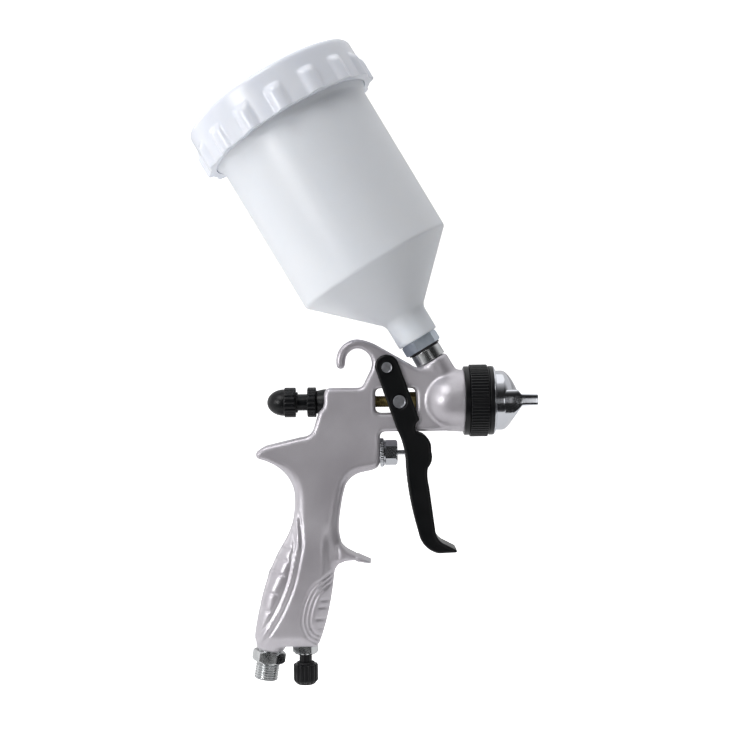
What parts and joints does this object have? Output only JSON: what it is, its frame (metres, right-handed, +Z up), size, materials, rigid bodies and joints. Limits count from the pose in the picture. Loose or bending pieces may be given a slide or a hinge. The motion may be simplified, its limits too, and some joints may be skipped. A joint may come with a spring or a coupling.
{
  "type": "gravity feed spray gun",
  "caption": "HVLP gravity-feed spray gun: silver cast body with hook, black trigger and knobs, chromed air cap, translucent screw-lidded paint cup leaning back above the head.",
  "frame": {"origin": "on the spray axis in the plane of the air horn tips", "axes": "+X sprays forwards, +Z up towards the cup, +Y to the left side of the gun"},
  "size_m": [0.1886, 0.1072, 0.3541],
  "materials": {
    "silver_paint": "satin silver enamel on die-cast aluminium",
    "steel": "machined",
    "chrome": "polished plate",
    "brass": "machined",
    "black_anodised": "black anodised aluminium",
    "black_paint": "black enamel on steel",
    "black_plastic": "moulded",
    "rubber": "moulded",
    "ptfe": "turned",
    "filter_mesh": "woven mesh in a moulded frame",
    "cup_plastic": "translucent polypropylene",
    "lid_plastic": "translucent polypropylene"
  },
  "bodies": {
    "body": {"gun_body": "silver_paint", "fluid_nozzle": "steel", "air_ring": "black_plastic", "packing_seal": "ptfe", "packing_nut": "brass", "knob_bush": "black_anodised", "valve_collar": "chrome", "air_valve_nut": "chrome", "valve_seat": "ptfe", "valve_spring": "steel", "cup_collar": "steel", "trigger_pin": "steel", "pivot_clip_right": "steel", "pivot_clip_left": "steel", "air_inlet": "steel", "meter_body": "chrome", "fan_valve_body": "chrome"},
    "retaining_ring": {"retaining_ring": "black_anodised", "ring_band": "chrome"},
    "air_cap": {"air_cap": "chrome"},
    "trigger": {"trigger": "black_paint", "push_pin": "steel"},
    "needle": {"fluid_needle": "steel", "needle_sleeve": "brass", "needle_spring": "steel"},
    "valve": {"valve_stem": "steel", "valve_plunger": "brass"},
    "lock_ring": {"lock_ring": "black_anodised"},
    "knob_seal": {"knob_seal": "rubber"},
    "fluid_knob": {"fluid_knob": "black_anodised"},
    "cup": {"cup_adapter": "steel", "adapter_gasket": "rubber", "paint_cup": "cup_plastic", "cup_filter": "filter_mesh"},
    "lid_seal": {"lid_seal": "ptfe"},
    "lid": {"cup_lid": "lid_plastic", "drip_vent": "lid_plastic"},
    "meter_seal": {"meter_seal": "rubber"},
    "meter_knob": {"meter_stem": "black_anodised", "meter_knob": "black_anodised"},
    "fan_knob": {"fan_valve_stem": "steel", "fan_valve_knob": "black_anodised"}
  },
  "joints": [
    {"name": "trigger_pull", "type": "hinge", "parent": "body", "child": "trigger", "pos_m": [-0.0819, 0, 0.0188], "axis": [0, 1, 0], "range_deg": [0, 11], "stiffness_Nm_per_rad": 3},
    {"name": "needle_slide", "type": "slide", "parent": "body", "child": "needle", "axis": [-1, 0, 0], "range_m": [0, 0.0037], "deforming": ["needle_spring"]},
    {"name": "valve_slide", "type": "slide", "parent": "body", "child": "valve", "axis": [-1, 0, 0], "range_m": [0, 0.0095], "deforming": ["valve_spring"]},
    {"name": "ring_turn", "type": "hinge", "parent": "body", "child": "retaining_ring", "pos_m": [-0.03, 0, 0], "axis": [1, 0, 0], "range_deg": [0, 360]},
    {"name": "air_cap_turn", "type": "hinge", "parent": "body", "child": "air_cap", "pos_m": [-0.02, 0, 0], "axis": [1, 0, 0], "range_deg": [-90, 90]},
    {"name": "lock_ring_turn", "type": "hinge", "parent": "body", "child": "lock_ring", "pos_m": [-0.124, 0, 0], "axis": [1, 0, 0], "range_deg": [0, 90]},
    {"name": "knob_travel", "type": "slide", "parent": "body", "child": "knob_seal", "axis": [1, 0, 0], "range_m": [0, 0.003], "deforming": ["needle_spring"]},
    {"name": "knob_turn", "type": "hinge", "parent": "knob_seal", "child": "fluid_knob", "pos_m": [-0.135, 0, 0], "axis": [1, 0, 0], "range_deg": [0, 1080]},
    {"name": "cup_turn", "type": "hinge", "parent": "body", "child": "cup", "pos_m": [-0.06212, 0, 0.03105], "axis": [-0.506, 0, 0.8625], "range_deg": [0, 360]},
    {"name": "lid_lift", "type": "slide", "parent": "cup", "child": "lid_seal", "axis": [-0.506, 0, 0.8625], "range_m": [0, 0.06]},
    {"name": "lid_turn", "type": "hinge", "parent": "lid_seal", "child": "lid", "pos_m": [-0.14005, 0, 0.16388], "axis": [-0.506, 0, 0.8625], "range_deg": [0, 360]},
    {"name": "meter_travel", "type": "slide", "parent": "body", "child": "meter_seal", "axis": [0, 0, 1], "range_m": [0, 0.0016]},
    {"name": "meter_turn", "type": "hinge", "parent": "meter_seal", "child": "meter_knob", "pos_m": [-0.1286, 0, -0.145], "axis": [0, 0, 1], "range_deg": [0, 720]},
    {"name": "fan_turn", "type": "hinge", "parent": "body", "child": "fan_knob", "pos_m": [-0.104, 0.015, -0.009], "axis": [0, 1, 0], "range_deg": [0, 360]}
  ],
  "couplings": [
    {"joint": "needle_slide", "follows": "trigger_pull", "m_per_rad": 0.01886},
    {"joint": "valve_slide", "follows": "trigger_pull", "m_per_rad": 0.049},
    {"joint": "knob_turn", "follows": "knob_travel", "rad_per_m": 6283.2},
    {"joint": "meter_turn", "follows": "meter_travel", "rad_per_m": 7854}
  ]
}
